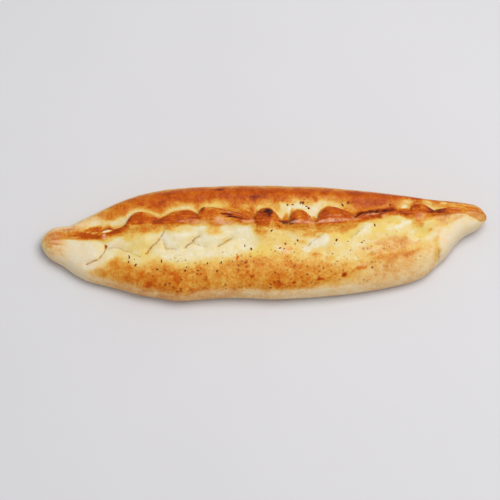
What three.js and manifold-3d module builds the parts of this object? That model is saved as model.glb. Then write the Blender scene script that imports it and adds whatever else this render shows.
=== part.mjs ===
// A closed, boat-shaped bread stick with a filling inside. A long oval of dough is
// drawn up over the filling, its front edge is laid over its back edge and pinched
// down with the fingers along the top, and both ends are rolled out into blunt tips.
// It is baked on a flat stone, so it stands on a flat underside.
// Millimetres: +X runs to the right-hand tip, +Y from the front to the back, +Z up.
// The origin is the middle of the outline, on the plane that the bread rests on.

import * as THREE from "three";
import Module from "manifold-3d";

// The whole bread
const LENGTH = 420;
const LEFT_NOSE = 15.5; // how far the rounding of the left tip reaches in
const RIGHT_NOSE = 14;

// The outline seen from above, as the y of the front and back edges along x
const FRONT_EDGE = [
  [-210, -10.4], [-192, -17.4], [-178, -27.4], [-166, -34], [-148, -39.2], [-130, -44.5], [-116, -48.8],
  [-100, -51.6], [-80, -54.9], [-58, -53.4], [-36, -52], [-13, -52.3], [13, -53.3], [75, -48.5],
  [123, -39.9], [148, -31.5], [161, -20.8], [165, -17.2], [171, -11.8], [178, -2.6], [184, 4.8],
  [190, 9.8], [198, 13.8], [204, 16.2], [210, 19],
];
const BACK_EDGE = [
  [-210, 15.6], [-196, 18.2], [-188, 19.1], [-183, 19], [-179, 21.1], [-174, 23.7], [-166, 27.8],
  [-148, 37], [-130, 44.9], [-112, 50.2], [-84, 54.7], [-45, 56.7], [-15, 57.4], [30, 57.3],
  [49, 56.6], [75, 54.5], [100, 51.8], [130, 47.9], [154, 44.4], [180, 41.2], [196, 38.7],
  [204, 37], [210, 33],
];

// The crest of the pinched seam: its y, its height, and the lift of the base at the tips
const CREST_LINE = [
  [-210, 3.5], [-166, 3.5], [-150, 5.4], [-130, 9.2], [-98, 14], [-60, 15.3],
  [-2, 12.2], [43, 10.6], [81, 13.6], [101, 20.2], [120, 22.8], [156, 24.8], [210, 28],
];
const CREST_HEIGHT = [
  [-210, 21], [-192, 25], [-150, 34], [-113, 40.5], [-60, 45.5], [-20, 47],
  [43, 46], [101, 43], [137, 40], [173, 34.5], [196, 31], [210, 28],
];
const BASE_LIFT = [[-210, 4], [-185, 0.6], [-165, 0], [150, 0], [175, 2.5], [196, 6], [210, 8.5]];
const PLAIN_TIP = 20; // the last stretch of each end, where the dough is only rolled
const TIP_BLEND = 38; // over which the seam grows to its full relief
const MIDDLE_HEIGHT = 0.42; // the height that the tips close on, as a share of the crest's

// Each pinch lays a lobe of dough over the back: [start x, end x, depth, place of its
// peak, how slack its left side is, and its right side: 0.5 is a round shoulder]
const LOBES = [
  [-178, -152, 2.5, 0.5, 0.6, 0.6], [-152, -142, 3, 0.6, 0.6, 0.6],
  [-130, -97, 12, 0.33, 0.5, 1.1], [-98, -62, 8, 0.62, 1, 0.5], [-62, -9, 11, 0.12, 0.4, 0.95],
  [-7.5, 17, 12.5, 0.5, 0.22, 1.3], [24, 45, 12.8, 0.42, 0.45, 0.65], [50, 86, 15, 0.34, 0.5, 0.9],
  [86, 105, 2.4, 0.4, 0.6, 0.8], [138, 161, 9, 0.2, 0.5, 1], [160, 190, 3, 0.5, 0.6, 0.6],
];
const LOBE_LEAST = 1.6; // what is laid over between two pinches
const LOBE_MOST = 0.5; // of the way from the crest to the back edge
const LOBE_MEAN = 9;
const CREST_SWING = 1.1; // how much higher the crest is in a mean lobe than in none

// Folds that the pinches draw into the front: [[x, y] points, depth, half width]
const CREASES = [
  [[[-148, -7.5], [-150.5, -13.5], [-156, -19], [-166.5, -23.3]], 1.5, 3],
  [[[-149, -8.8], [-140, -9], [-128, -12.8], [-120, -17.8]], 0.9, 2.8],
  [[[-93, 5.4], [-98, -2.1], [-110, -15.3]], 1.5, 3],
  [[[-95, -2.9], [-92, -11.5], [-83, -12.5]], 1, 2.8],
  [[[-61, 0], [-67, -4.7], [-74, -11]], 1.5, 3],
  [[[-67, -5.3], [-61, -8.4], [-54, -10.4]], 0.9, 2.8],
  [[[-30, -3], [-37, -7.1], [-43, -10]], 1.3, 3],
  [[[55, 0.5], [45, -6.9], [40, -11.6]], 1.3, 3],
  [[[94, 8.5], [87, 3.1], [82, -2]], 1.3, 3],
  [[[150, 26.4], [157, 22.6], [170, 22]], 2.2, 3],
  [[[157, 1], [163, -7]], 1.2, 2.6],
  [[[164, -11], [165.5, -22], [165, -33]], 2.4, 2.4],
];

// Knuckles and hollows: [x, y, half length, half breadth, height]
const SWELLINGS = [
  [1.5, 5, 9, 11, 2.2], [149, 16, 10, 8, 2.2], [-151, 1, 5, 4, 1.8], [60, -3, 7, 8, 2.4],
  [50, -7, 9, 4, 1.2], [125, 5, 17, 6, 1.6], [152, 4, 9, 6, -2.4], [-112, -5, 10, 7, 1.8],
  [-78, -1, 9, 6, 1.6], [-47, -2, 10, 6, 1.4], [-20, -6, 12, 8, -1.2], [30, -7, 15, 10, -1],
  [110, -19, 26, 9, 1.4], [153, -18, 10, 14, 2.6], [178, 5, 9, 16, -1.6], [-160, -11, 9, 9, 1.4],
];

// Dried herb flakes lie where they fell: the larger ones at [x, y], and falls of smaller
// ones as [x, y, spread in x, spread in y, how many]
const LARGE_FLAKES = [
  [-126.5, -19.4], [-127, -23.6], [-120.5, -26.8], [-100, -31.5], [-96, -24], [-74, -33.5],
  [-62, -33.5], [-53, -27.1], [-44, -34], [-40, -26.4], [-18, -10.3], [-12, -13.1], [20, -8],
  [68, -4.4], [22, 32], [27, 32.6], [35, 34.9], [37, 34.5], [40, 31], [42, 29.1], [74, 32.7],
  [79, 34.9], [104, 10.9], [31.5, -4.7], [15, -12.2], [7, 3.1], [92, -5.6], [119, 33.8],
];
const HERB_FALLS = [
  [35, 34, 14, 4, 3], [82, 34, 6, 3, 2], [-118, -18, 10, 8, 4], [-75, -25, 22, 6, 5],
  [-30, -23, 20, 8, 6], [22, -17, 20, 13, 8], [70, -15, 18, 12, 5], [112, -7, 20, 9, 4],
];
const FLAKE = { length: 2, breadth: 1.1, height: 0.9, stands: 0.35, sides: 5 };
const LARGE_SIZES = [1, 1.4]; // of a flake's own size
const SMALL_SIZES = [0.7, 1];

// How finely the body is cut
const BODY_STATIONS = 96;
const NOSE_STATIONS = 8;

// A smooth curve through [x, y] points, as a function of x
function curve(points) {
  const slope = points.map((_, i) => {
    const [before, after] = [points[Math.max(i - 1, 0)], points[Math.min(i + 1, points.length - 1)]];
    return (after[1] - before[1]) / (after[0] - before[0]);
  });
  return (x) => {
    let i = 0;
    while (i < points.length - 2 && x > points[i + 1][0]) i += 1;
    const [[x0, y0], [x1, y1]] = [points[i], points[i + 1]];
    const span = x1 - x0;
    const t = (x - x0) / span;
    return (
      y0 * (1 + 2 * t) * (1 - t) ** 2 +
      y1 * t * t * (3 - 2 * t) +
      span * t * (1 - t) * (slope[i] * (1 - t) - slope[i + 1] * t)
    );
  };
}

const frontEdge = curve(FRONT_EDGE);
const backEdge = curve(BACK_EDGE);
const crestLine = curve(CREST_LINE);
const crestHeight = curve(CREST_HEIGHT);
const baseLift = curve(BASE_LIFT);

// 0 on the rolled tips, 1 where the seam has its full relief
function relief(x) {
  return THREE.MathUtils.smoothstep(LENGTH / 2 - Math.abs(x), PLAIN_TIP, PLAIN_TIP + TIP_BLEND);
}

// How far the front dough is laid over the back one at x
function lobeDepth(x) {
  const depths = LOBES.map(([start, end, depth, peak, leftSlack, rightSlack]) => {
    const u = THREE.MathUtils.clamp((x - start) / (end - start), 0, 1);
    const quarter = u < peak ? u / peak : (1 - u) / (1 - peak);
    return depth * Math.sin(0.5 * Math.PI * quarter) ** (u < peak ? leftSlack : rightSlack);
  });
  return LOBE_LEAST + Math.max(...depths);
}

// The crest stands a little higher in a lobe than between two of them
function crestRise(x) {
  return CREST_SWING * (lobeDepth(x) / LOBE_MEAN - 1);
}

// The round end of each tip: the share of its full section that stands at x
function noseShare(x) {
  const left = Math.min((x + LENGTH / 2) / LEFT_NOSE, 1);
  const right = Math.min((LENGTH / 2 - x) / RIGHT_NOSE, 1);
  return Math.sqrt(Math.max(0, (1 - (1 - left) ** 2) * (1 - (1 - right) ** 2)));
}

// The section at x, as the points that lines along the bread pass through. Each has
// its height at a plain tip and in full relief, as a share of the crest's height,
// and the number of points to put before the next line.
function sectionLines(x) {
  const [front, back, crest] = [frontEdge(x), backEdge(x), crestLine(x)];
  const mid = (front + back) / 2;
  const width = back - front;
  const ahead = (share) => crest + share * (front - crest);
  const behind = (share) => crest + share * (back - crest);
  const lip = crest + Math.min(lobeDepth(x), LOBE_MOST * (back - crest));
  const shoulder = behind(0.7);
  const valley = lip + 0.36 * (shoulder - lip);
  const rise = crestRise(x) / crestHeight(x);
  return [
    [mid, 0, 0, 1],
    [mid - 0.2 * width, 0, 0, 1],
    [mid - 0.39 * width, 0, 0, 1],
    [mid - 0.472 * width, 0.12, 0.09, 1],
    [front, 0.36, 0.26, 2],
    [ahead(0.96), 0.56, 0.49, 2],
    [ahead(0.82), 0.74, 0.7, 3],
    [ahead(0.61), 0.86, 0.815, 6],
    [ahead(0.36), 0.93, 0.83, 6],
    [ahead(0.11), 0.98, 0.915 + 0.4 * rise, 2],
    [crest, 1, 1 + rise, 2],
    [crest + 0.62 * (lip - crest), 0.985, 0.98 + rise, 2],
    [lip, 0.96, 0.9 + 0.6 * rise, 1],
    [lip - 0.08 * (lip - crest), 0.94, 0.82, 1],
    [valley, 0.91, 0.745, 2],
    [shoulder, 0.82, 0.775, 2],
    [behind(0.91), 0.63, 0.6, 2],
    [back, 0.38, 0.34, 1],
    [mid + 0.472 * width, 0.12, 0.11, 1],
    [mid + 0.39 * width, 0, 0, 1],
    [mid + 0.2 * width, 0, 0, 1],
  ];
}

// The middle of the section at x, as (y, z): each nose closes round it
function middle(x) {
  const floor = Math.max(0, baseLift(x));
  const height = floor + MIDDLE_HEIGHT * (crestHeight(x) - floor);
  return new THREE.Vector2((frontEdge(x) + backEdge(x)) / 2, height);
}

// The points of the section at x
function section(x) {
  const lines = sectionLines(x);
  const floor = Math.max(0, baseLift(x));
  const full = relief(x);
  const height = crestHeight(x) - floor;
  const centre = middle(x);
  const share = noseShare(x);
  const corners = lines.map(([y, tip, whole]) =>
    new THREE.Vector3(0, y, floor + height * THREE.MathUtils.lerp(tip, whole, full)),
  );
  const outline = new THREE.CatmullRomCurve3(corners, true, "centripetal");
  const points = [];
  lines.forEach((line, i) => {
    for (let k = 0; k < line[3]; k += 1) {
      const t = (i + k / line[3]) / lines.length;
      const point = outline.getPoint(t);
      const along = outline.getTangent(t);
      const y = centre.x + share * (point.y - centre.x);
      const z = centre.y + share * (point.z - centre.y);
      const rise = share * surfaceRelief(x, y, along.y);
      points.push(new THREE.Vector3(x, y - rise * along.z, Math.max(0, z + rise * along.y)));
    }
  });
  return points;
}

// Distance from (x, y) to a path of straight stretches
function distanceTo(path, x, y) {
  let least = Infinity;
  for (let i = 1; i < path.length; i += 1) {
    const [[ax, ay], [bx, by]] = [path[i - 1], path[i]];
    const along = ((x - ax) * (bx - ax) + (y - ay) * (by - ay)) / ((bx - ax) ** 2 + (by - ay) ** 2);
    const t = THREE.MathUtils.clamp(along, 0, 1);
    least = Math.min(least, Math.hypot(x - ax - t * (bx - ax), y - ay - t * (by - ay)));
  }
  return least;
}

// How far the creases, knuckles and hollows move the skin outwards at (x, y). Facing
// is 1 where the skin looks straight up, 0 where it stands upright and -1 below.
const RELIEF_FACING = [-0.4, 0.5]; // none of it at the first, all of it at the second
function surfaceRelief(x, y, facing) {
  const share = THREE.MathUtils.smoothstep(facing, ...RELIEF_FACING);
  if (share === 0) return 0;
  let rise = 0;
  for (const [path, depth, halfWidth] of CREASES) {
    rise -= depth * Math.exp(-((distanceTo(path, x, y) / halfWidth) ** 2));
  }
  for (const [cx, cy, halfLength, halfBreadth, height] of SWELLINGS) {
    rise += height * Math.exp(-(((x - cx) / halfLength) ** 2) - ((y - cy) / halfBreadth) ** 2);
  }
  return rise * share;
}

// Where the sections stand: close together round the two noses, even between them
function stations() {
  const xs = [];
  for (let i = 1; i < NOSE_STATIONS; i += 1) {
    xs.push(-LENGTH / 2 + LEFT_NOSE * (1 - Math.cos((0.5 * Math.PI * i) / NOSE_STATIONS)));
  }
  const [from, to] = [-LENGTH / 2 + LEFT_NOSE, LENGTH / 2 - RIGHT_NOSE];
  for (let i = 0; i <= BODY_STATIONS; i += 1) xs.push(from + ((to - from) * i) / BODY_STATIONS);
  for (let i = NOSE_STATIONS - 1; i > 0; i -= 1) {
    xs.push(LENGTH / 2 - RIGHT_NOSE * (1 - Math.cos((0.5 * Math.PI * i) / NOSE_STATIONS)));
  }
  return xs;
}

// The bread's skin: one ring of points for each section, closed by a point at each tip
function breadGeometry() {
  const rings = stations().map(section);
  const around = rings[0].length;
  const tipPoint = (x) => new THREE.Vector3(x, middle(x).x, middle(x).y);
  const points = [tipPoint(-LENGTH / 2), ...rings.flat(), tipPoint(LENGTH / 2)];
  const last = points.length - 1;
  const faces = [];
  for (let k = 0; k < around; k += 1) {
    const next = (k + 1) % around;
    faces.push(0, 1 + k, 1 + next);
    for (let ring = 0; ring < rings.length - 1; ring += 1) {
      const [near, far] = [1 + ring * around, 1 + (ring + 1) * around];
      faces.push(near + k, far + k, far + next, near + k, far + next, near + next);
    }
    faces.push(last, last - around + next, last - around + k);
  }
  return new THREE.BufferGeometry().setFromPoints(points).setIndex(faces);
}

// A repeatable draw between 0 and 1, evenly spread as the number grows
function draw(number, step) {
  return (0.5 + number * step) % 1;
}
const DRAW_STEPS = { reach: 0.7548776662, way: 0.569840291, turn: 0.8191725134, size: 0.6710436067 };

// One flake of dried herb, lying on the top of the bread at (x, y)
function flakeGeometry(skin, x, y, sizes, number) {
  const down = new THREE.Raycaster(new THREE.Vector3(x, y, 2 * LENGTH), new THREE.Vector3(0, 0, -1));
  const hit = down.intersectObject(skin)[0];
  const size = THREE.MathUtils.lerp(...sizes, draw(number, DRAW_STEPS.size));
  const flake = new THREE.CylinderGeometry(0.5, 0.5, 1, FLAKE.sides);
  flake.scale(FLAKE.length * size, FLAKE.height, FLAKE.breadth * size);
  flake.rotateY(2 * Math.PI * draw(number, DRAW_STEPS.turn));
  const lean = new THREE.Quaternion().setFromUnitVectors(new THREE.Vector3(0, 1, 0), hit.face.normal);
  flake.applyQuaternion(lean);
  const centre = hit.point.addScaledVector(hit.face.normal, FLAKE.stands - FLAKE.height / 2);
  return flake.translate(centre.x, centre.y, centre.z);
}

// A closed solid of a geometry, its shared vertices merged by their place
function solidOf(wasm, geometry) {
  const places = new Map();
  const [vertices, triangles] = [[], []];
  const position = geometry.getAttribute("position");
  for (const index of geometry.index.array) {
    const point = [position.getX(index), position.getY(index), position.getZ(index)];
    const key = point.map((value) => value.toFixed(4)).join(" ");
    if (!places.has(key)) {
      places.set(key, places.size);
      vertices.push(...point);
    }
    triangles.push(places.get(key));
  }
  const whole = triangles.filter((_, i) => {
    const [a, b, c] = triangles.slice(i - (i % 3), i - (i % 3) + 3);
    return a !== b && b !== c && a !== c;
  });
  return new wasm.Manifold(
    new wasm.Mesh({
      numProp: 3,
      vertProperties: new Float32Array(vertices),
      triVerts: new Uint32Array(whole),
    }),
  );
}

// The bread with its flakes of herb baked on, as one solid
async function bakedBread() {
  const wasm = await Module();
  wasm.setup();
  const skinGeometry = breadGeometry();
  const skin = new THREE.Mesh(skinGeometry, new THREE.MeshBasicMaterial({ side: THREE.DoubleSide }));
  let solid = solidOf(wasm, skinGeometry);
  let number = 0;
  const strew = (x, y, sizes) => {
    solid = solid.add(solidOf(wasm, flakeGeometry(skin, x, y, sizes, number)));
  };
  for (const [x, y, spreadX, spreadY, count] of HERB_FALLS) {
    for (let i = 0; i < count; i += 1) {
      number += 1;
      const reach = Math.sqrt(draw(number, DRAW_STEPS.reach));
      const way = 2 * Math.PI * draw(number, DRAW_STEPS.way);
      strew(x + spreadX * reach * Math.cos(way), y + spreadY * reach * Math.sin(way), SMALL_SIZES);
    }
  }
  for (const [x, y] of LARGE_FLAKES) {
    number += 1;
    strew(x, y, LARGE_SIZES);
  }
  const made = solid.getMesh();
  const geometry = new THREE.BufferGeometry();
  geometry.setAttribute("position", new THREE.BufferAttribute(made.vertProperties, 3));
  geometry.setIndex(new THREE.BufferAttribute(made.triVerts, 1));
  geometry.computeBoundingBox();
  const box = geometry.boundingBox;
  geometry.translate(-(box.min.x + box.max.x) / 2, -(box.min.y + box.max.y) / 2, -box.min.z);
  geometry.computeVertexNormals();
  return geometry;
}

// Egg-washed, oven-browned crust
const crust = new THREE.MeshStandardMaterial({ color: 0xd08a3c, roughness: 0.55, metalness: 0 });

const bread = new THREE.Mesh(await bakedBread(), crust);
bread.name = "bread";

const breadStick = new THREE.Group();
breadStick.name = "filled_bread_stick";
breadStick.add(bread);

export default breadStick;
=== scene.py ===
import math

import bpy
import numpy as np
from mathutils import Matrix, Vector, noise
from mathutils.bvhtree import BVHTree


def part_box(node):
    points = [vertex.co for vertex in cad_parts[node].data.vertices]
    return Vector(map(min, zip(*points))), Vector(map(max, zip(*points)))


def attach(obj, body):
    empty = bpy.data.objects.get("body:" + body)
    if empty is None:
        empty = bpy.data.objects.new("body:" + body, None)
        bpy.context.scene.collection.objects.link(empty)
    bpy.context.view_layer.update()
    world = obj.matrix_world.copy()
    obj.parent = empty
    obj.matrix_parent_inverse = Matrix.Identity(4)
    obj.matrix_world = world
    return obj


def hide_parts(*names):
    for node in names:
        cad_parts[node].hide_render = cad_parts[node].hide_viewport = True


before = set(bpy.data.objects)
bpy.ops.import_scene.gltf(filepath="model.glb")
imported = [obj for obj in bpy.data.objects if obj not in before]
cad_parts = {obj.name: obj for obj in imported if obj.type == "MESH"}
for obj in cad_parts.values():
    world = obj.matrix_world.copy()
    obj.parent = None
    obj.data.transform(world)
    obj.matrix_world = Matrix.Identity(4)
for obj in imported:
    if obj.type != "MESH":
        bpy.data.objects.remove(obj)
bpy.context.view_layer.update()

# The bread. A long oval of yeast dough is drawn up over a filling, its front edge is
# laid over its back edge and pinched down with the fingers, and its ends are rolled
# out. It is brushed with egg and baked on an oven's floor until the seam is deep brown.

# Lengths are millimetres. A place on the skin is (x, s): x runs along the bread, and s
# counts the lines round its section: 4 is the front edge, 10 the crest of the seam,
# 12 the lip of the upper dough, 14 the valley behind it, and 17 the back edge.
MM = 0.001
bread_low, bread_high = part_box("bread")
HALF = (bread_high.x - bread_low.x) / MM / 2  # of the bread's length
LEFT_NOSE, RIGHT_NOSE = 15.5, 14  # how far the rounding of each tip reaches in

# The outline from above, the line and the height of the crest, and how high the foot is
# at the tips, which rise a little: x, and y or z there
FRONT_EDGE = [
    (-210, -10.4), (-192, -17.4), (-178, -27.4), (-166, -34), (-148, -39.2), (-130, -44.5),
    (-116, -48.8), (-100, -51.6), (-80, -54.9), (-58, -53.4), (-36, -52), (-13, -52.3), (13, -53.3),
    (75, -48.5), (123, -39.9), (148, -31.5), (161, -20.8), (165, -17.2), (171, -11.8), (178, -2.6),
    (184, 4.8), (190, 9.8), (198, 13.8), (204, 16.2), (210, 19),
]
BACK_EDGE = [
    (-210, 15.6), (-196, 18.2), (-188, 19.1), (-183, 19), (-179, 21.1), (-174, 23.7), (-166, 27.8),
    (-148, 37), (-130, 44.9), (-112, 50.2), (-84, 54.7), (-45, 56.7), (-15, 57.4), (30, 57.3),
    (49, 56.6), (75, 54.5), (100, 51.8), (130, 47.9), (154, 44.4), (180, 41.2), (196, 38.7), (204, 37),
    (210, 33),
]
CREST_LINE = [
    (-210, 3.5), (-166, 3.5), (-150, 5.4), (-130, 9.2), (-98, 14), (-60, 15.3), (-2, 12.2), (43, 10.6),
    (81, 13.6), (101, 20.2), (120, 22.8), (156, 24.8), (210, 28),
]
CREST_HEIGHT = [
    (-210, 21), (-192, 25), (-150, 34), (-113, 40.5), (-60, 45.5), (-20, 47), (43, 46), (101, 43),
    (137, 40), (173, 34.5), (196, 31), (210, 28),
]
BASE_LIFT = [(-210, 4), (-185, 0.6), (-165, 0), (150, 0), (175, 2.5), (196, 6), (210, 8.5)]
PLAIN_TIP, TIP_BLEND = 20, 38  # the rolled end, and the stretch where the seam grows out of it
MIDDLE_HEIGHT = 0.42  # the height that the tips close on, as a share of the crest's

# Each pinch lays a lobe of dough over the back: start, end, depth, the place of its
# peak, and how slack its left and its right side are
LOBES = [
    (-178, -152, 2.5, 0.5, 0.6, 0.6), (-152, -142, 3, 0.6, 0.6, 0.6), (-130, -97, 12, 0.33, 0.5, 1.1),
    (-98, -62, 8, 0.62, 1, 0.5), (-62, -9, 11, 0.12, 0.4, 0.95), (-7.5, 17, 12.5, 0.5, 0.22, 1.3),
    (24, 45, 12.8, 0.42, 0.45, 0.65), (50, 86, 15, 0.34, 0.5, 0.9), (86, 105, 2.4, 0.4, 0.6, 0.8),
    (138, 161, 9, 0.2, 0.5, 1), (160, 190, 3, 0.5, 0.6, 0.6),
]
LOBE_LEAST, LOBE_MOST = 1.6, 0.5  # the least lap of the dough, and the most as a share of the way back
LOBE_MEAN, CREST_SWING = 9, 1.1  # the usual lap, and how far the crest rises over a lap of twice that

# Folds that the pinches draw into the front: points (x, y), depth, half width, and how
# dark the painted shade is, in brown, along the sharp line at the bottom and over the hollow
CREASES = [
    ([(-148, -7.5), (-150.5, -13.5), (-156, -19), (-166.5, -23.3)], 1.5, 3, 0.8),
    ([(-149, -8.8), (-140, -9), (-128, -12.8), (-120, -17.8)], 0.9, 2.8, 0.35),
    ([(-93, 5.4), (-98, -2.1), (-110, -15.3)], 1.5, 3, 0.9),
    ([(-95, -2.9), (-92, -11.5), (-83, -12.5)], 1, 2.8, 0.5),
    ([(-61, 0), (-67, -4.7), (-74, -11)], 1.5, 3, 0.9),
    ([(-67, -5.3), (-61, -8.4), (-54, -10.4)], 0.9, 2.8, 0.5),
    ([(-30, -3), (-37, -7.1), (-43, -10)], 1.3, 3, 0.8),
    ([(55, 0.5), (45, -6.9), (40, -11.6)], 1.3, 3, 0.45),
    ([(94, 8.5), (87, 3.1), (82, -2)], 1.3, 3, 0.4),
    ([(150, 26.4), (157, 22.6), (170, 22)], 2.2, 3, 0.2),
    ([(157, 1), (163, -7)], 1.2, 2.6, 0),
    ([(164, -11), (165.5, -22), (165, -33)], 2.4, 2.4, 0.6),
]
CREASE_LINE = 0.7  # half width of the sharp line
CREASE_SHARE, LINE_SHARE = 0.8, 0.3  # how much of a fold's depth its hollow and its line take

# Knuckles and hollows: x, y, half length, half breadth, height
SWELLINGS = [
    (1.5, 5, 9, 11, 2.2), (149, 16, 10, 8, 2.2), (-151, 1, 5, 4, 1.8), (60, -3, 7, 8, 2.4),
    (50, -7, 9, 4, 1.2), (125, 5, 17, 6, 1.6), (152, 4, 9, 6, -2.4), (-112, -5, 10, 7, 1.8),
    (-78, -1, 9, 6, 1.6), (-47, -2, 10, 6, 1.4), (-20, -6, 12, 8, -1.2), (30, -7, 15, 10, -1),
    (110, -19, 26, 9, 1.4), (153, -18, 10, 14, 2.6), (178, 5, 9, 16, -1.6), (-160, -11, 9, 9, 1.4),
]

# Points to each stretch between two lines of the section, and stations along the bread
ROUND_POINTS = [2, 2, 3, 3, 6, 8, 14, 20, 20, 10, 10, 8, 4, 8, 12, 8, 5, 3, 3, 2, 2]
NOSE_STATIONS, BODY_STATIONS = 16, 560
TOUCHING = 1e-4  # lines of the section that are nearer than this are one
SEED_STEP = 7.31  # how far apart two seeds read the noise


def curve(points, x):
    """A smooth curve through the points, as y at each x."""
    px, py = np.array(points, float).T
    slope = np.empty_like(py)
    slope[1:-1] = (py[2:] - py[:-2]) / (px[2:] - px[:-2])
    slope[0] = (py[1] - py[0]) / (px[1] - px[0])
    slope[-1] = (py[-1] - py[-2]) / (px[-1] - px[-2])
    i = np.clip(np.searchsorted(px, x) - 1, 0, len(px) - 2)
    span = px[i + 1] - px[i]
    t = (x - px[i]) / span
    ends = py[i] * (1 + 2 * t) * (1 - t) ** 2 + py[i + 1] * t * t * (3 - 2 * t)
    return ends + span * t * (1 - t) * (slope[i] * (1 - t) - slope[i + 1] * t)


def step_up(value, start, end):
    """0 before start, 1 after end, and smooth between them."""
    t = np.clip((value - start) / (end - start), 0, 1)
    return t * t * (3 - 2 * t)


def lobe_depth(x):
    """How far the upper dough is laid over the back at x."""
    deepest = np.zeros_like(x)
    for start, end, depth, peak, left_slack, right_slack in LOBES:
        u = np.clip((x - start) / (end - start), 0, 1)
        quarter = np.where(u < peak, u / peak, (1 - u) / (1 - peak))
        slack = np.where(u < peak, left_slack, right_slack)
        deepest = np.maximum(deepest, depth * np.sin(0.5 * math.pi * quarter) ** slack)
    return LOBE_LEAST + deepest


def nose_share(x):
    """The share of its full section that stands at x, in the rounding of the tips."""
    left = np.minimum((x + HALF) / LEFT_NOSE, 1)
    right = np.minimum((HALF - x) / RIGHT_NOSE, 1)
    return np.sqrt(np.clip((1 - (1 - left) ** 2) * (1 - (1 - right) ** 2), 0, None))


def section_lines(x):
    """The lines round the section: y, height at a plain tip, and height in full relief."""
    front, back, crest = curve(FRONT_EDGE, x), curve(BACK_EDGE, x), curve(CREST_LINE, x)
    mid, width = (front + back) / 2, back - front
    lip = crest + np.minimum(lobe_depth(x), LOBE_MOST * (back - crest))
    rise = CREST_SWING * (lobe_depth(x) / LOBE_MEAN - 1) / curve(CREST_HEIGHT, x)

    def ahead(share):
        return crest + share * (front - crest)

    def behind(share):
        return crest + share * (back - crest)

    shoulder = behind(0.7)
    return [
        (mid, 0, 0),
        (mid - 0.2 * width, 0, 0),
        (mid - 0.39 * width, 0, 0),
        (mid - 0.472 * width, 0.12, 0.09),
        (front, 0.36, 0.26),
        (ahead(0.96), 0.56, 0.49),
        (ahead(0.82), 0.74, 0.7),
        (ahead(0.61), 0.86, 0.815),
        (ahead(0.36), 0.93, 0.83),
        (ahead(0.11), 0.98, 0.915 + 0.4 * rise),
        (crest, 1, 1 + rise),
        (crest + 0.62 * (lip - crest), 0.985, 0.98 + rise),
        (lip, 0.96, 0.9 + 0.6 * rise),
        (lip - 0.08 * (lip - crest), 0.94, 0.82),
        (lip + 0.36 * (shoulder - lip), 0.91, 0.745),
        (shoulder, 0.82, 0.775),
        (behind(0.91), 0.63, 0.6),
        (back, 0.38, 0.34),
        (mid + 0.472 * width, 0.12, 0.11),
        (mid + 0.39 * width, 0, 0),
        (mid + 0.2 * width, 0, 0),
    ]


def foot_and_height(x):
    """How high the foot is, and the crest above it."""
    foot = np.maximum(0, curve(BASE_LIFT, x))
    return foot, curve(CREST_HEIGHT, x) - foot


def centre_line(x):
    """(y, z) of the line inside the bread that its tips close on."""
    foot, height = foot_and_height(x)
    return np.stack([(curve(FRONT_EDGE, x) + curve(BACK_EDGE, x)) / 2, foot + MIDDLE_HEIGHT * height], 1)


def plain_skin(x, s):
    """(y, z) of the skin for each s and x, without its relief, and the way that the section runs."""
    foot, height = foot_and_height(x)
    full = step_up(HALF - np.abs(x), PLAIN_TIP, PLAIN_TIP + TIP_BLEND)
    lines = section_lines(x)
    corner = np.stack(
        [np.stack([y, foot + height * (tip + (whole - tip) * full)], 1) for y, tip, whole in lines]
    )
    i = np.floor(s).astype(int)
    t = (s - i)[:, None, None]
    before, start, end, after = (corner[(i + k) % len(lines)] for k in (-1, 0, 1, 2))
    gaps = [
        np.sqrt(np.linalg.norm(b - a, axis=2))[..., None]
        for a, b in ((before, start), (start, end), (end, after))
    ]
    middle = np.where(gaps[1] < TOUCHING, 1, gaps[1])
    first = np.where(gaps[0] < TOUCHING, middle, gaps[0])
    last = np.where(gaps[2] < TOUCHING, middle, gaps[2])
    slope_start = (start - before) / first - (end - before) / (first + middle) + (end - start) / middle
    slope_end = (end - start) / middle - (after - start) / (middle + last) + (after - end) / last
    slope_start, slope_end = slope_start * middle, slope_end * middle
    square = 3 * (end - start) - 2 * slope_start - slope_end
    cube = 2 * (start - end) + slope_start + slope_end
    point = start + slope_start * t + square * t**2 + cube * t**3
    along = slope_start + 2 * square * t + 3 * cube * t**2
    along /= np.linalg.norm(along, axis=2)[..., None]
    centre = centre_line(x)
    return centre + nose_share(x)[None, :, None] * (point - centre), along


def distance_to(path, x, y):
    """The distance from each (x, y) to a path of straight stretches."""
    least = np.full_like(x, np.inf)
    for (ax, ay), (bx, by) in zip(path, path[1:]):
        reach = (bx - ax) ** 2 + (by - ay) ** 2
        t = np.clip(((x - ax) * (bx - ax) + (y - ay) * (by - ay)) / reach, 0, 1)
        least = np.minimum(least, np.hypot(x - ax - t * (bx - ax), y - ay - t * (by - ay)))
    return least


def uneven(places, size, seed):
    """Smooth noise from about -1 to 1 at each place, with lumps of about that size."""
    scaled = (places / np.array(size) + seed * SEED_STEP).reshape(-1, 3)
    return np.array([noise.noise(Vector(at)) for at in scaled]).reshape(places.shape[:-1])


def lumps(height, size, seed):
    """Noise of that height over the whole skin."""
    return height * uneven(place, size, seed)


def band(value, rise, fall):
    """1 between two soft edges and 0 outside them; each edge is where it starts and ends."""
    return step_up(value, *rise) * (1 - step_up(value, *fall))


# The places of the skin's points: stations along the bread, and lines round it
nose = 1 - np.cos(0.5 * math.pi * np.arange(1, NOSE_STATIONS) / NOSE_STATIONS)
station = np.concatenate([
    -HALF + LEFT_NOSE * nose,
    np.linspace(-HALF + LEFT_NOSE, HALF - RIGHT_NOSE, BODY_STATIONS + 1),
    HALF - RIGHT_NOSE * nose[::-1],
])
line = np.concatenate([i + np.arange(count) / count for i, count in enumerate(ROUND_POINTS)])
skin, along = plain_skin(station, line)
skin_x, skin_s = [grid.copy() for grid in np.broadcast_arrays(station[None, :], line[:, None])]
place = np.stack([skin_x, skin[..., 0], skin[..., 1]], 2)

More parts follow.
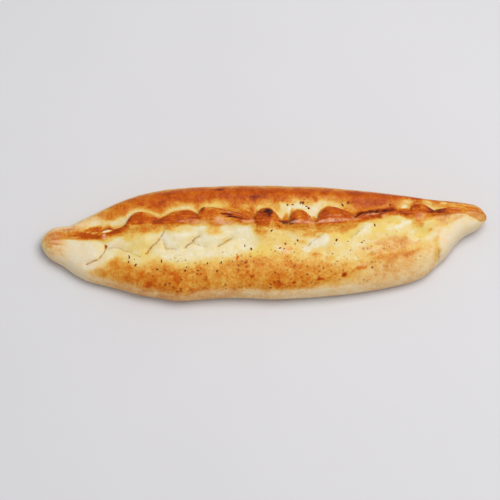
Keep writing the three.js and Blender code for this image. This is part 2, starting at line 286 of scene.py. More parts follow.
# The relief of the skin: folds, knuckles, the low lumps that the filling pushes up, and
# the fine wrinkles that run along the seam. Each noise is a height, the size of its
# lumps along x, y and z, and a seed.
BEND_ALONG, BEND_ACROSS = (1.3, (6, 6, 6), 11), (1.3, (6, 6, 6), 12)
BROAD_LUMPS, SMALL_LUMPS = (0.55, (26, 20, 20), 1), (0.22, (7, 6, 6), 2)
LONG_WRINKLES, SHORT_WRINKLES = (0.32, (16, 2.6, 2.6), 3), (0.2, (5, 1.5, 1.5), 4)
FACING_UP = (-0.4, 0.5)  # from the undercut sides, where the section runs back, to the top
SEAM_BAND = (8.7, 9.4), (13, 14.2)
ABOVE_BASE = (3.5, 5), (16.5, 18)

facing_up = step_up(along[..., 0], *FACING_UP)
relief = np.zeros_like(skin_x)
fold_line_shade, fold_shade = np.zeros_like(skin_x), np.zeros_like(skin_x)
bent_x, bent_y = skin_x + lumps(*BEND_ALONG), skin[..., 0] + lumps(*BEND_ACROSS)
for path, depth, half_width, brown in CREASES:
    away = distance_to(path, bent_x, bent_y)
    hollow, sharp = np.exp(-((away / half_width) ** 2)), np.exp(-((away / CREASE_LINE) ** 2))
    relief -= depth * (CREASE_SHARE * hollow + LINE_SHARE * sharp)
    # Painted shade in the folds: a dark line along the bottom of each and a softer shade over its hollow
    fold_line_shade = np.maximum(fold_line_shade, brown * sharp)
    fold_shade = np.maximum(fold_shade, brown * hollow)
for middle_x, middle_y, half_length, half_breadth, height in SWELLINGS:
    away_x, away_y = (skin_x - middle_x) / half_length, (skin[..., 0] - middle_y) / half_breadth
    relief += height * np.exp(-(away_x**2) - away_y**2)
relief *= facing_up
fold_line_shade *= facing_up
fold_shade *= facing_up
seam = band(skin_s, *SEAM_BAND)
relief += band(skin_s, *ABOVE_BASE) * (lumps(*BROAD_LUMPS) + lumps(*SMALL_LUMPS))
relief += seam * (lumps(*LONG_WRINKLES) + lumps(*SHORT_WRINKLES))
relief *= nose_share(station)[None, :]
place[..., 1] -= relief * along[..., 1]
place[..., 2] = np.maximum(0, place[..., 2] + relief * along[..., 0])

# How the oven and the egg wash have coloured the skin, together with painted shade and
# painted highlights. Browning runs from 0, white dough, to 1, almost charred. Each table is x,
# and there the place of a band's edge in s or its browning.
BELLY_FOOT = [
    (-210, 5.9), (-180, 5.9), (-166, 5.45), (-140, 5.3), (-100, 5.08), (-80, 4.95), (-60, 5.15),
    (-40, 5.22), (0, 5.2), (30, 5.22), (50, 5.3), (75, 5.42), (100, 5.4), (130, 5.4), (210, 5.6),
]
FOOT_BLUR = [
    (-210, 0.25), (-160, 0.3), (-120, 0.4), (-60, 0.35), (-20, 0.25), (50, 0.25), (75, 0.4),
    (100, 0.75), (140, 0.8), (210, 0.8),
]
BELLY_TOP = [
    (-210, 5.2), (-174, 5.2), (-164, 5.75), (-156, 6.5), (-148, 6.8), (-139, 7.35), (-128, 7.1),
    (-118, 6.75), (-100, 7.1), (-78, 6.92), (-60, 7.1), (-40, 7.15), (-20, 7.5), (0, 7.45), (30, 7.2),
    (70, 7), (100, 7.1), (150, 7.2), (210, 7.2),
]
BELLY_BROWN = [
    (-210, 0.3), (-166, 0.45), (-140, 0.49), (-110, 0.56), (-75, 0.56), (-40, 0.49), (0, 0.55),
    (40, 0.53), (65, 0.42), (90, 0.36), (130, 0.4), (158, 0.26), (168, 0.12), (210, 0.12),
]
RIM_BROWN = [
    (-210, 0.3), (-180, 0.1), (-160, 0.26), (-120, 0.44), (-60, 0.42), (0, 0.3), (60, 0.22),
    (110, 0.26), (150, 0.28), (170, 0.1), (210, 0.16),
]
TOP_BROWN = [
    (-210, 0.3), (-195, 0.26), (-180, 0.1), (-145, 0.08), (-118, 0.18), (-90, 0.07), (-30, 0.07),
    (-12, 0.1), (2, 0.25), (20, 0.23), (40, 0.22), (60, 0.19), (80, 0.14), (95, 0.14), (112, 0.22),
    (125, 0.16), (145, 0.18), (165, 0.16), (185, 0.12), (210, 0.3),
]
SEAM_FOOT = [
    (-210, 8.4), (-185, 9.1), (-160, 8.9), (-130, 8.85), (-90, 8.9), (-72, 9.2), (-60, 9.2),
    (-54, 9.15), (-44, 8.95), (-36, 9.3), (-20, 9.2), (-8, 8.75), (0, 8.75), (8, 9), (20, 9.1),
    (30, 8.8), (60, 8.7), (78, 8.75), (90, 9.2), (112, 9.3), (122, 9.5), (132, 9.3), (140, 8.9),
    (152, 8.8), (162, 9), (180, 9.05), (189, 8.9), (195, 8.1), (201, 7), (206, 5.4), (210, 4),
]
SEAM_START = [
    (-210, 9.4), (-190, 9.3), (-172, 9.4), (-158, 9.4), (-145, 9.2), (-133, 9.5), (-127, 10.1),
    (-112, 9.85), (-100, 9.6), (-88, 9.5), (-70, 9.65), (-60, 9.8), (-50, 9.6), (-40, 10), (-26, 9.75),
    (-14, 9.9), (-6, 9.2), (4, 9.4), (12, 10), (30, 9.8), (60, 9.7), (85, 9.8), (95, 9.5), (110, 9.4),
    (118, 9.8), (130, 9.6), (138, 9.2), (146, 10.2), (155, 9.8), (165, 9.6), (180, 9.4), (210, 9.2),
]
SEAM_BROWN = [
    (-210, 0.6), (-200, 0.54), (-186, 0.6), (-172, 0.68), (-164, 0.62), (-157, 0.58), (-153, 0.66),
    (-142, 0.84), (-134, 0.8), (-126, 0.78), (-117, 0.74), (-108, 0.71), (-100, 0.8), (-88, 0.78),
    (-74, 0.73), (-64, 0.78), (-54, 0.66), (-40, 0.62), (-26, 0.8), (-14, 0.72), (-9, 0.7), (-4, 0.76),
    (2, 0.74), (9, 0.72), (14, 0.74), (19, 0.84), (24, 0.78), (31, 0.7), (40, 0.72), (46, 0.6),
    (52, 0.78), (62, 0.78), (74, 0.74), (83, 0.68), (88, 0.68), (95, 0.84), (106, 0.86), (115, 0.84),
    (122, 0.8), (130, 0.8), (137, 0.8), (145, 0.78), (151, 0.74), (157, 0.9), (164, 0.88), (172, 0.74),
    (188, 0.66), (210, 0.7),
]
VALLEY_TOP = [
    (-210, 14.3), (-180, 14.1), (-165, 14.5), (-152, 14.6), (-144, 14.1), (-134, 14.25), (-125, 14.1),
    (-100, 13.85), (-80, 14), (-62, 13.9), (-50, 13.95), (-43, 14.1), (-36, 14), (-28, 13.9),
    (-15, 14.05), (0, 14), (10, 14.05), (18, 14.3), (26, 14.4), (38, 14.3), (50, 14.5), (62, 14.35),
    (72, 14.2), (80, 14), (100, 13.7), (120, 14.1), (134, 14.55), (150, 14.4), (210, 14.2),
]
VALLEY_BROWN = [
    (-210, 0.4), (-190, 0.5), (-180, 0.5), (-170, 0.3), (-160, 0.16), (-152, 0.16), (-136, 0.12),
    (-128, 0.14), (-112, 0.24), (-98, 0.26), (-85, 0.18), (-66, 0.16), (-59, 0.4), (-53, 0.22),
    (-48, 0.16), (-38, 0.4), (-32, 0.5), (-20, 0.62), (-12, 0.62), (-6, 0.24), (-2, 0.26), (7, 0.34),
    (13, 0.16), (19, 0.08), (27, 0.06), (36, 0.06), (47, 0.1), (60, 0.22), (70, 0.26), (80, 0.5),
    (92, 0.76), (120, 0.84), (125, 0.56), (130, 0.32), (136, 0.34), (143, 0.66), (150, 0.36),
    (156, 0.24), (163, 0.36), (174, 0.5), (210, 0.55),
]
BACK_BROWN = [
    (-210, 0.32), (-180, 0.3), (-168, 0.28), (-152, 0.46), (-142, 0.58), (-120, 0.71), (-70, 0.74),
    (-40, 0.75), (0, 0.76), (40, 0.75), (70, 0.73), (100, 0.76), (120, 0.74), (136, 0.68), (145, 0.7),
    (154, 0.56), (162, 0.7), (168, 0.5), (176, 0.64), (190, 0.54), (210, 0.55),
]

# Some browner places are painted shade, under the lips of the seam, in the gaps between its lobes and
# beside the folds; one paler band is a painted highlight on the top edge of the left tip
# Browner and paler places: x, s, reach in x, reach in s, browning, share
BROWNED_AND_SHADED = [
    (-197, 8.25, 8, 0.22, 0.57, 0.9), (-197, 7.3, 7, 0.5, 0.38, 0.7), (-203, 7.6, 4, 0.5, 0.5, 0.7),
    (-196, 12, 10, 2.4, 0.56, 0.85), (-198, 13.9, 8, 0.5, 0.6, 0.8), (-186, 12.4, 5, 2.4, 0.6, 0.85),
    (-162, 13.85, 9, 0.28, 0.76, 0.9), (-155, 12.2, 4.5, 1.7, 0.78, 0.85),
    (-176, 11.6, 7, 2.2, 0.74, 0.85), (-166, 10.3, 7, 1, 0.8, 0.85), (-158, 9.4, 6, 0.4, 0.8, 0.85),
    (-153.5, 15.1, 5, 0.5, 0.56, 0.6), (-145, 14.7, 7, 0.4, 0.6, 0.6), (-147, 13, 4, 0.8, 0.66, 0.8),
    (-148.2, 8.3, 1.3, 0.13, 1, 0.95), (-146, 8.75, 7, 0.22, 0.42, 0.6),
    (-137, 9.6, 8, 0.35, 0.84, 0.7), (-103, 9.9, 3, 0.35, 0.86, 0.8), (-116, 10.1, 3, 0.2, 0.86, 0.6),
    (-127, 8.75, 4, 0.25, 0.42, 0.6), (-108.5, 5.5, 4.5, 0.25, 0.83, 0.9),
    (-101.5, 5.9, 2.5, 0.2, 0.74, 0.7), (-80.5, 6.15, 4, 0.3, 0.8, 0.8),
    (-85, 6.45, 3, 0.15, 0.76, 0.6), (-66.5, 5.3, 6, 0.2, 0.76, 0.75), (-90, 5.4, 12, 0.3, 0.68, 0.6),
    (-124, 5.8, 9, 0.4, 0.62, 0.6), (-140, 6.3, 7, 0.5, 0.6, 0.6), (-54, 5.8, 4, 0.5, 0.66, 0.6),
    (-58.7, 11.8, 2.2, 1.1, 0.94, 0.85), (-47.5, 8.85, 7, 0.3, 0.36, 0.8),
    (12.5, 5.62, 4.5, 0.2, 0.82, 0.8), (-10, 6, 10, 0.3, 0.48, 0.5), (35, 8.35, 3, 0.1, 0.48, 0.7),
    (48, 7.62, 3.4, 0.14, 0.54, 0.8), (13.9, 9.3, 1.8, 0.19, 1, 0.9),
    (108.3, 9.6, 2.8, 0.18, 0.86, 0.85), (123, 9.7, 4, 0.3, 0.76, 0.6),
    (75, 6.08, 2.6, 0.17, 0.88, 0.95), (53, 5.86, 4, 0.1, 0.84, 0.9),
    (28.7, 5.72, 1.5, 0.1, 0.96, 0.95), (35, 6.15, 2.4, 0.1, 0.78, 0.8),
    (91.5, 6.46, 5.5, 0.12, 0.7, 0.95), (84, 6.3, 2.5, 0.08, 0.6, 0.8),
    (-25, 7.3, 1.2, 0.08, 0.84, 0.9), (-24, 6.8, 1.3, 0.08, 0.74, 0.8), (-12, 6.15, 2, 0.12, 0.84, 0.8),
    (-15.5, 6.4, 1.4, 0.09, 0.86, 0.8), (148.3, 8.58, 1.7, 0.13, 0.58, 0.85),
    (147, 9.2, 5, 0.45, 0.44, 0.85), (155, 8.95, 4, 0.2, 0.36, 0.8), (156.5, 8.17, 2, 0.15, 0.44, 0.85),
    (142, 9.6, 5, 0.4, 0.72, 0.7), (162.4, 6.4, 3.2, 1.3, 0.33, 0.95), (162, 10.6, 9, 0.7, 0.94, 0.9),
    (148, 11.5, 9, 2.2, 0.74, 0.6), (171, 9.4, 17, 0.28, 0.64, 0.8), (176, 8.6, 13, 0.5, 0.46, 0.85),
    (164, 8.85, 4, 0.25, 0.5, 0.7), (147, 8.6, 3.4, 0.16, 0.52, 0.75), (10, 9.25, 5, 0.2, 0.46, 0.7),
    (104, 14.3, 16, 0.6, 0.76, 0.5), (112, 6.85, 10, 0.13, 0.58, 0.8), (126, 6.7, 12, 0.15, 0.56, 0.8),
    (140, 6.95, 7, 0.12, 0.54, 0.7), (130, 7.2, 8, 0.1, 0.5, 0.6), (24.5, 7.95, 2.5, 0.12, 0.54, 0.7),
    (122, 7.6, 24, 0.42, 0.46, 0.9), (21, 13.75, 2.6, 0.2, 0.44, 0.6),
    (46.5, 13.66, 2.2, 0.2, 0.66, 0.9), (57, 13.68, 6, 0.15, 0.78, 0.85),
    (20.5, 13.6, 3, 0.18, 0.7, 0.75), (26, 13.78, 2.4, 0.2, 0.56, 0.8), (28, 14.35, 3, 0.14, 0.3, 0.6),
    (40, 14.35, 3, 0.14, 0.4, 0.6), (34, 13.65, 4, 0.12, 0.36, 0.7), (-2, 13.55, 4, 0.15, 0.72, 0.7),
    (18, 14.87, 4, 0.16, 0.78, 0.9), (-75, 8.95, 9, 0.22, 0.3, 0.7), (24, 7.5, 4, 0.16, 0.48, 0.7),
    (26, 6.36, 4, 0.2, 0.6, 0.6), (64, 7.85, 5, 0.2, 0.32, 0.6), (106, 8.6, 4, 0.14, 0.3, 0.6),
    (106, 8.97, 4, 0.12, 0.4, 0.6), (76, 14.6, 5, 0.15, 0.7, 0.6), (72, 6.73, 5, 0.18, 0.44, 0.7),
    (-186, 14.55, 6, 0.22, 0.6, 0.9), (-10, 13.78, 4, 0.16, 0.76, 0.75),
    (188, 14.25, 5, 0.2, 0.64, 0.8), (134, 8.1, 4, 0.14, 0.3, 0.7), (138, 7.72, 4, 0.14, 0.36, 0.7),
    (100, 8.1, 5, 0.16, 0.26, 0.7), (62, 8.35, 4, 0.12, 0.26, 0.6), (-28, 14.1, 4, 0.2, 0.68, 0.7),
    (38, 14.45, 3, 0.12, 0.54, 0.7), (47.6, 5.93, 3, 0.08, 0.72, 0.7), (60.5, 5.98, 3, 0.07, 0.68, 0.7),
    (65.4, 6.2, 2.6, 0.08, 0.62, 0.6), (10, 14.1, 4, 0.25, 0.46, 0.8), (1, 14.35, 10, 0.2, 0.5, 0.5),
    (52, 7.5, 4, 0.14, 0.44, 0.7), (62, 7.25, 5, 0.14, 0.42, 0.7), (-36, 8.25, 3, 0.12, 0.24, 0.6),
    (-98, 8.1, 2.5, 0.14, 0.24, 0.6), (64, 9, 5, 0.2, 0.58, 0.85), (98, 7.4, 15, 0.35, 0.34, 0.7),
    (104, 7.1, 8, 0.14, 0.5, 0.6), (104, 9.05, 5, 0.16, 0.38, 0.7), (119, 8.9, 3, 0.12, 0.44, 0.8),
    (127, 8.8, 3, 0.12, 0.4, 0.8), (132, 13.62, 9, 0.3, 0.76, 0.85), (138, 7.75, 4, 0.2, 0.36, 0.7),
    (142, 8.6, 3, 0.18, 0.44, 0.8), (-42, 15.4, 5, 0.2, 0.94, 0.85), (-9, 14.7, 4, 0.14, 0.86, 0.8),
    (56, 15.15, 4, 0.1, 0.86, 0.6), (48, 14.75, 3, 0.14, 0.82, 0.7), (20, 14.85, 4, 0.12, 0.72, 0.7),
    (-96, 14.55, 4, 0.1, 0.84, 0.7), (-90, 15.3, 5, 0.25, 0.86, 0.5), (-5, 15.2, 14, 0.25, 0.82, 0.4),
    (90, 15.2, 14, 0.25, 0.82, 0.4), (163.4, 14.85, 2.6, 0.25, 0.7, 0.9), (194, 14.1, 7, 0.3, 0.7, 0.9),
    (180, 14, 7, 0.35, 0.48, 0.7), (145, 10.95, 7, 0.35, 0.9, 0.85), (142, 12, 5, 0.6, 0.6, 0.7),
    (130.5, 6.96, 6, 0.15, 0.56, 0.85), (136, 6.76, 5, 0.14, 0.64, 0.8),
]
PALE = [
    (-148, 10.15, 4.8, 0.34, 0.02, 0.95), (-108, 12.2, 6, 1.3, 0.42, 0.7),
    (-92, 8.5, 6, 0.4, 0.04, 0.7), (57, 8.5, 4.6, 0.32, 0, 0.95), (49, 8.25, 7, 0.24, 0, 0.95),
    (41, 7.95, 3.6, 0.2, 0.02, 0.9), (97, 8.9, 6, 0.16, 0.02, 0.85), (95, 8.6, 6, 0.2, 0.04, 0.8),
    (119, 8.62, 5, 0.14, 0.02, 0.85), (127, 8.62, 4.5, 0.14, 0.02, 0.85),
    (133, 8.86, 5, 0.2, 0.02, 0.85), (139.4, 8, 5, 0.3, 0.04, 0.8), (149, 7.6, 9, 0.16, 0.04, 0.85),
    (160, 7.6, 3, 0.2, 0.06, 0.7), (-17, 8.8, 7, 0.45, 0.04, 0.7), (8, 9.6, 2.6, 0.5, 0.34, 0.8),
    (1.5, 9.05, 4, 0.16, 0.34, 0.7), (-3, 9.1, 6, 0.2, 0.44, 0.6), (18.5, 14.3, 3.6, 0.15, 0.05, 0.8),
    (47.6, 14.15, 3.6, 0.24, 0.03, 0.8), (-94, 9.2, 4, 0.15, 0.4, 0.6), (-52, 11.6, 3, 0.6, 0.4, 0.7),
    (-54, 9.35, 4, 0.2, 0.4, 0.7), (34, 8.97, 5, 0.14, 0.28, 0.7), (105, 9.95, 3, 0.2, 0.5, 0.6),
    (50, 9.97, 3, 0.16, 0.5, 0.7), (-17, 14.1, 4, 0.14, 0.36, 0.6), (106, 7.5, 4, 0.14, 0.2, 0.6),
    (150, 10.8, 3, 0.4, 0.56, 0.7), (136.4, 14.55, 5, 0.13, 0.18, 0.7), (8.5, 8.95, 3, 0.14, 0.2, 0.7),
    (36, 9.2, 7, 0.2, 0.39, 0.75), (86, 9.22, 4, 0.14, 0.36, 0.6), (52, 8.75, 4, 0.12, 0.16, 0.7),
    (34, 6.9, 7, 0.3, 0.44, 0.6), (2, 5.55, 7, 0.22, 0.44, 0.7), (20, 5.86, 5, 0.18, 0.44, 0.7),
    (12, 9.35, 2.4, 0.2, 0.42, 0.6), (14, 7.97, 4.4, 0.2, 0.05, 0.8), (-33, 9.1, 5, 0.16, 0.14, 0.6),
    (152, 7.5, 8, 0.25, 0.14, 0.5), (132.6, 14.18, 2.8, 0.15, 0.04, 0.85),
    (112.5, 9.6, 2.5, 0.12, 0.4, 0.7), (114, 9.45, 3, 0.12, 0.32, 0.7), (136, 9.45, 3, 0.18, 0.56, 0.7),
    (-84, 11.8, 8, 0.8, 0.48, 0.5), (-178, 14.36, 5, 0.18, 0.4, 0.85),
    (-170.6, 13.85, 3.2, 0.28, 0.37, 0.85), (-165.2, 12, 3, 1, 0.3, 0.95),
    (-159.5, 10.6, 3.5, 0.45, 0.36, 0.85), (-155, 9.85, 2.4, 0.16, 0.4, 0.8),
    (-137, 12.9, 5, 0.9, 0.3, 0.8), (-158, 14.45, 7, 0.25, 0.14, 0.85),
    (-181, 9.5, 5, 0.22, 0.38, 0.75), (-118, 5.5, 6, 0.2, 0.45, 0.6), (-103, 12.7, 4, 0.8, 0.4, 0.7),
    (-208.5, 11, 2, 6, 0.12, 0.6), (-190, 15.65, 20, 0.7, 0.14, 0.85), (80, 7.5, 8, 0.4, 0.14, 0.5),
    (154, 14.65, 4.5, 0.3, 0.2, 0.85), (158.5, 13.9, 5, 0.25, 0.18, 0.85),
    (169.5, 14.72, 3.6, 0.2, 0.2, 0.85), (150, 5.9, 9, 0.8, 0.2, 0.7), (166.5, 13.7, 4, 0.2, 0.26, 0.7),
    (-45, 6.2, 8, 0.4, 0.4, 0.5), (-2, 6.3, 5, 0.5, 0.42, 0.5), (25, 6.6, 8, 0.3, 0.42, 0.5),
    (60, 6.4, 7, 0.3, 0.4, 0.5),
]
# Where egg wash stands in a pool and has set yellow
YOLK = [
    (-1, 7.85, 8, 0.4, 1), (77, 8.55, 8, 0.3, 0.9), (-6, 7.6, 10, 0.3, 0.7), (-115, 7.8, 10, 0.7, 0.42),
    (75, 8.5, 8, 0.2, 0.8), (107.4, 8.5, 6, 0.14, 0.9), (112.5, 8.62, 3, 0.2, 0.8),
    (79, 8.5, 5, 0.2, 0.9), (83, 8.8, 5, 0.1, 0.8), (91, 8.95, 7, 0.1, 0.8), (109, 9, 5, 0.2, 0.8),
    (120, 9.1, 7, 0.14, 0.8), (124, 8.88, 4, 0.14, 0.8), (149, 8.15, 9, 0.35, 0.8),
    (162, 6.6, 2.4, 1, 0.25), (70, 7.8, 8, 0.5, 0.15), (15, 8.5, 9, 0.4, 0.2),
    (-148, 8.75, 6, 0.25, 0.5), (-127, 8.75, 6, 0.3, 0.6), (-45, 13.85, 9, 0.25, 0.85),
    (18, 14, 4, 0.3, 0.4), (-60, 6.9, 45, 0.3, 0.3), (-100, 9.1, 20, 0.3, 0.3),
    (132, 9.05, 10, 0.2, 0.5), (65, 9.1, 20, 0.2, 0.3),
]
# Where the seam is scorched, and the dark lines in its cracks and under the lips of its lobes, which are
# painted shade as well as scorched crust
SCORCHED_AND_CRACK_SHADE = [
    (3.8, 11.4, 4, 1, 0.62), (4.5, 11.1, 1.6, 0.5, 0.5), (0.5, 11.6, 6, 1.1, 0.42),
    (26.5, 12.3, 1.8, 0.6, 0.6), (1, 12.2, 8, 0.3, 0.7), (-41, 15.35, 4.5, 0.13, 0.7),
    (-10, 14.75, 4, 0.12, 0.4), (-35, 10.75, 5, 0.16, 0.9), (-27, 10.4, 7, 0.16, 0.95),
    (-17, 10.15, 8, 0.1, 0.7), (-26, 12.9, 4, 0.5, 0.35), (22, 10.1, 7, 0.45, 0.95),
    (19, 13, 5, 0.4, 0.7), (91, 13.45, 8, 0.24, 0.7), (101, 13.5, 9, 0.24, 0.75),
    (111, 13.65, 9, 0.24, 0.75), (119.5, 13.8, 5, 0.2, 0.55), (162.5, 11.2, 7, 1, 0.6),
    (52, 12.5, 2, 0.8, 0.5), (-59.5, 12.4, 2, 0.7, 0.8), (-70, 12.9, 8, 0.25, 0.3),
    (33, 13, 6, 0.25, 0.3), (-118, 12.6, 9, 0.2, 0.3), (50, 10, 4, 0.2, 0.2),
]
# Painted highlights: pale pink where the glossy seam and the tips catch the light
PAINTED_HIGHLIGHTS = [
    (-196, 8.75, 9, 0.28, 1), (-197, 8.8, 6, 0.2, 1), (-196, 11.6, 9, 2.2, 0.45),
    (-198, 8.3, 7, 0.2, 0.4), (-192, 15, 14, 0.4, 0.4), (-150.4, 9.5, 1.7, 0.16, 1),
    (-149.6, 9, 2, 0.2, 1), (-41, 9.75, 5, 0.45, 0.8), (-26, 11.45, 12, 0.28, 0.6),
    (92, 6.62, 5, 0.09, 0.4), (-103, 13, 5, 0.6, 0.5), (-61, 9.5, 10, 0.16, 0.5),
    (112, 9.6, 3, 0.14, 0.5), (-34, 9.42, 7, 0.2, 0.8), (-181, 9.5, 5, 0.2, 0.4),
    (-15, 9.85, 6, 0.16, 0.6), (60, 10.09, 26, 0.15, 0.8), (43, 10.8, 2, 1, 0.6),
    (66, 10.6, 8, 0.1, 0.4), (-11, 11.5, 1.8, 1.8, 0.6), (85, 11.5, 3, 1.6, 0.6),
    (101, 10.25, 7, 0.3, 0.7), (33, 10.05, 8, 0.2, 0.7), (46, 11.5, 2, 1.8, 0.5),
    (194, 9.5, 7, 0.18, 0.9), (20, 7.8, 4, 0.25, 0.6), (-74, 9.75, 9, 0.12, 0.5),
    (180, 11.3, 6, 0.4, 0.3), (147, 9.35, 5, 0.35, 0.5),
]
# How bare of wash the skin is: x, s, reach in x, reach in s, bareness, share
UNWASHED = [
    (-180, 7, 26, 1.7, 1, 1), (-203, 12, 6, 4, 1, 0.5), (-185, 15, 30, 0.8, 1, 0.8),
    (140, 5.9, 45, 0.9, 1, 0.6), (180, 7, 22, 1.9, 1, 1), (118, 7.6, 28, 0.5, 1, 0.75),
    (190, 15, 20, 0.6, 1, 0.6), (203, 10, 8, 4, 1, 0.6), (-140, 8.35, 10, 0.25, 1, 0.6),
    (-190, 15.4, 18, 0.9, 1, 0.8), (162.4, 6.4, 3.2, 1.3, 0.15, 0.95), (176, 8.9, 14, 0.6, 1, 0.8),
]
# Where the front is freckled with dots, besides the belly
FRECKLED = [(112, 7.6, 34, 0.6, 0.8), (30, 7.7, 34, 0.7, 0.7)]
FRECKLES_START, FRECKLES_THIN, FRECKLES_END = (-150, -90), (90, 130), (145, 160)
FRECKLES_THINNED = 0.6
# How softly the bands run into each other: reach in s before and after the edge
BELLY_TOP_SOFT, SEAM_FOOT_SOFT, SEAM_SOFT = (0.5, 0.45), (0.25, 0.2), (0.3, 0.25)
VALLEY_TOP_SOFT, BACK_SOFT = (0.15, 0.25), (-0.15, 0.7)
# Bands that keep their place all along: s where they start and where they are full
TOP_STARTS, LIP_STARTS, VALLEY_STARTS = (5.2, 6.4), (10.3, 10.9), (13.4, 13.7)
LIT_BACK_STARTS, BACK_FOOT_STARTS, DRY_BACK_STARTS = (15.4, 16.2), (16.4, 17.6), (16.3, 17.4)
UNDERSIDE_ENDS, UNDERSIDE_STARTS = (2.3, 3.5), (18.3, 19.3)
FRONT_BAND, LIP_SHADE = ((7, 7.6), (9.3, 9.8)), ((12.5, 12.95), (13.3, 13.6))
DEEP_LOBE, LIP_SHADE_ENDS = (3, 7), (120, 132)
LIP_SHADE_BROWN, LIP_SHADE_SHARE, LIP_CALM = 0.95, 0.7, 0.5
SEAM_FOOT_MOST, VALLEY_TOP_MOST = 0.53, 0.5  # the most browning in a band's soft edge
LIT_BACK_SHARE, BACK_FOOT_BROWN, UNDERSIDE_BROWN, FOLD_SHADE_DARKENING = 0.55, 0.3, 0.3, 0.07
# Noise in the colours: height, size of its lumps along x, y and z, and seed
WIDE_WANDER_X, FINE_WANDER_X = (1.3, (9, 9, 9), 5), (0.8, (3, 3, 3), 6)
WIDE_WANDER_S, FINE_WANDER_S = (0.14, (11, 6, 6), 7), (0.06, (3, 2.2, 2.2), 8)
LONG_STREAKS, SHORT_STREAKS = (0.16, (15, 1.7, 1.7), 9), (0.09, (4, 0.8, 0.8), 10)
BROAD_TOASTING, SMALL_TOASTING = (0.3, (30, 24, 24), 14), (0.16, (9, 8, 8), 15)
POOLS, POOL_EDGE = (1, (9, 5, 5), 13), (0.02, 0.4)
RIGHT_POOLS, LEFT_POOL_SHARE, POOL_SHARE = (50, 85), 0.25, 0.6
DAB_SOFTNESS, POOL_SOFTNESS, FRECKLE_SOFTNESS = 0.45, 0.7, 0.5


def layered(field, *layers):
    """The field with each layer's value laid over it, where the layer's mask is."""
    for mask, value in layers:
        field = field + mask * (value - field)
    return field


def spot(middle_x, middle_s, reach_x, reach_s, softness):
    """1 inside an oval on the skin, falling to 0 over its edge."""
    middle = np.abs(line - middle_s).argmin(), np.abs(station - middle_x).argmin()
    away_x, away_s = stray_x - stray_x[middle], stray_s - stray_s[middle]
    return 1 - step_up(np.hypot(away_x / reach_x, away_s / reach_s), 1 - softness, 1 + softness)


def dabbed(field, dabs, softness=DAB_SOFTNESS):
    """The field with dabs laid over it: x, s, their reaches, a value unless it is 1, and a share."""
    for middle_x, middle_s, reach_x, reach_s, *value, share in dabs:
        dab = share * spot(middle_x, middle_s, reach_x, reach_s, softness)
        field = layered(field, (dab, value[0] if value else 1))
    return field


def edge(table):
    """An edge or a browning along the bread, at each point of the skin."""
    return curve(table, np.clip(stray_x, -HALF, HALF))


def past(limit, before, after):
    """0 in front of an edge and 1 behind it, rising from before the edge to after it."""
    return step_up(stray_s, limit - before, limit + after)


# The edges wander a little, as a brush and the oven's heat leave them
stray_x = skin_x + lumps(*WIDE_WANDER_X) + lumps(*FINE_WANDER_X)
stray_s = skin_s + lumps(*WIDE_WANDER_S) + lumps(*FINE_WANDER_S)

washed = past(edge(BELLY_FOOT), edge(FOOT_BLUR), edge(FOOT_BLUR))
belly = washed * (1 - past(edge(BELLY_TOP), *BELLY_TOP_SOFT))
valley, seam_brown, back_brown = edge(VALLEY_TOP), edge(SEAM_BROWN), edge(BACK_BROWN)
browning = layered(
    edge(RIM_BROWN),
    (step_up(stray_s, *TOP_STARTS), edge(TOP_BROWN)),
    (belly, edge(BELLY_BROWN)),
    (past(edge(SEAM_FOOT), *SEAM_FOOT_SOFT), np.minimum(SEAM_FOOT_MOST, seam_brown)),
    (past(edge(SEAM_START), *SEAM_SOFT), seam_brown),
)
streaky = seam * (1 - LIP_CALM * step_up(stray_s, *LIP_STARTS))
browning += streaky * (lumps(*LONG_STREAKS) + lumps(*SHORT_STREAKS))
lip_shade = band(stray_s, *LIP_SHADE) * step_up(lobe_depth(skin_x), *DEEP_LOBE)
lip_shade = LIP_SHADE_SHARE * lip_shade * (1 - step_up(skin_x, *LIP_SHADE_ENDS))
underside = np.maximum(1 - step_up(skin_s, *UNDERSIDE_ENDS), step_up(skin_s, *UNDERSIDE_STARTS))
browning = layered(
    browning,
    (lip_shade, LIP_SHADE_BROWN),
    (step_up(stray_s, *VALLEY_STARTS), edge(VALLEY_BROWN)),
    (past(valley, *VALLEY_TOP_SOFT), np.minimum(VALLEY_TOP_MOST, back_brown)),
    (past(valley, *BACK_SOFT), back_brown),
    # Painted light: the back is paler towards its far edge, where the light catches it
    (step_up(stray_s, *LIT_BACK_STARTS), LIT_BACK_SHARE * back_brown),
    (step_up(stray_s, *BACK_FOOT_STARTS), BACK_FOOT_BROWN),
    (underside, UNDERSIDE_BROWN + lumps(*BROAD_TOASTING) + lumps(*SMALL_TOASTING)),
)
# Painted shade over the hollows of the folds
browning += FOLD_SHADE_DARKENING * fold_shade
# Browner and paler places, some of them painted shade and one a painted highlight
browning = dabbed(browning, BROWNED_AND_SHADED + PALE)

dry = dabbed(np.maximum(1 - washed, step_up(stray_s, *DRY_BACK_STARTS)), UNWASHED)
pooled = LEFT_POOL_SHARE + (1 - LEFT_POOL_SHARE) * step_up(skin_x, *RIGHT_POOLS)
pooled = POOL_SHARE * band(stray_s, *FRONT_BAND) * pooled
yolk = dabbed(pooled * step_up(lumps(*POOLS), *POOL_EDGE), YOLK, POOL_SOFTNESS)
# Scorched crust with painted shade in the seam's cracks, and painted highlights on its crest and tips
scorch_and_crack_shade, painted_highlight = dabbed(np.zeros_like(skin_x), SCORCHED_AND_CRACK_SHADE), dabbed(np.zeros_like(skin_x), PAINTED_HIGHLIGHTS)
freckled = belly * step_up(skin_x, *FRECKLES_START)
freckled *= 1 - FRECKLES_THINNED * step_up(skin_x, *FRECKLES_THIN)
freckled *= 1 - step_up(skin_x, *FRECKLES_END)
freckled = dabbed(freckled, FRECKLED, FRECKLE_SOFTNESS)

# The mesh: one ring of points for each station, closed by a point at each tip
around, rings = len(line), len(station)


def tip_point(x):
    """The point that closes the tip at x."""
    return (x, *centre_line(np.array([x]))[0])


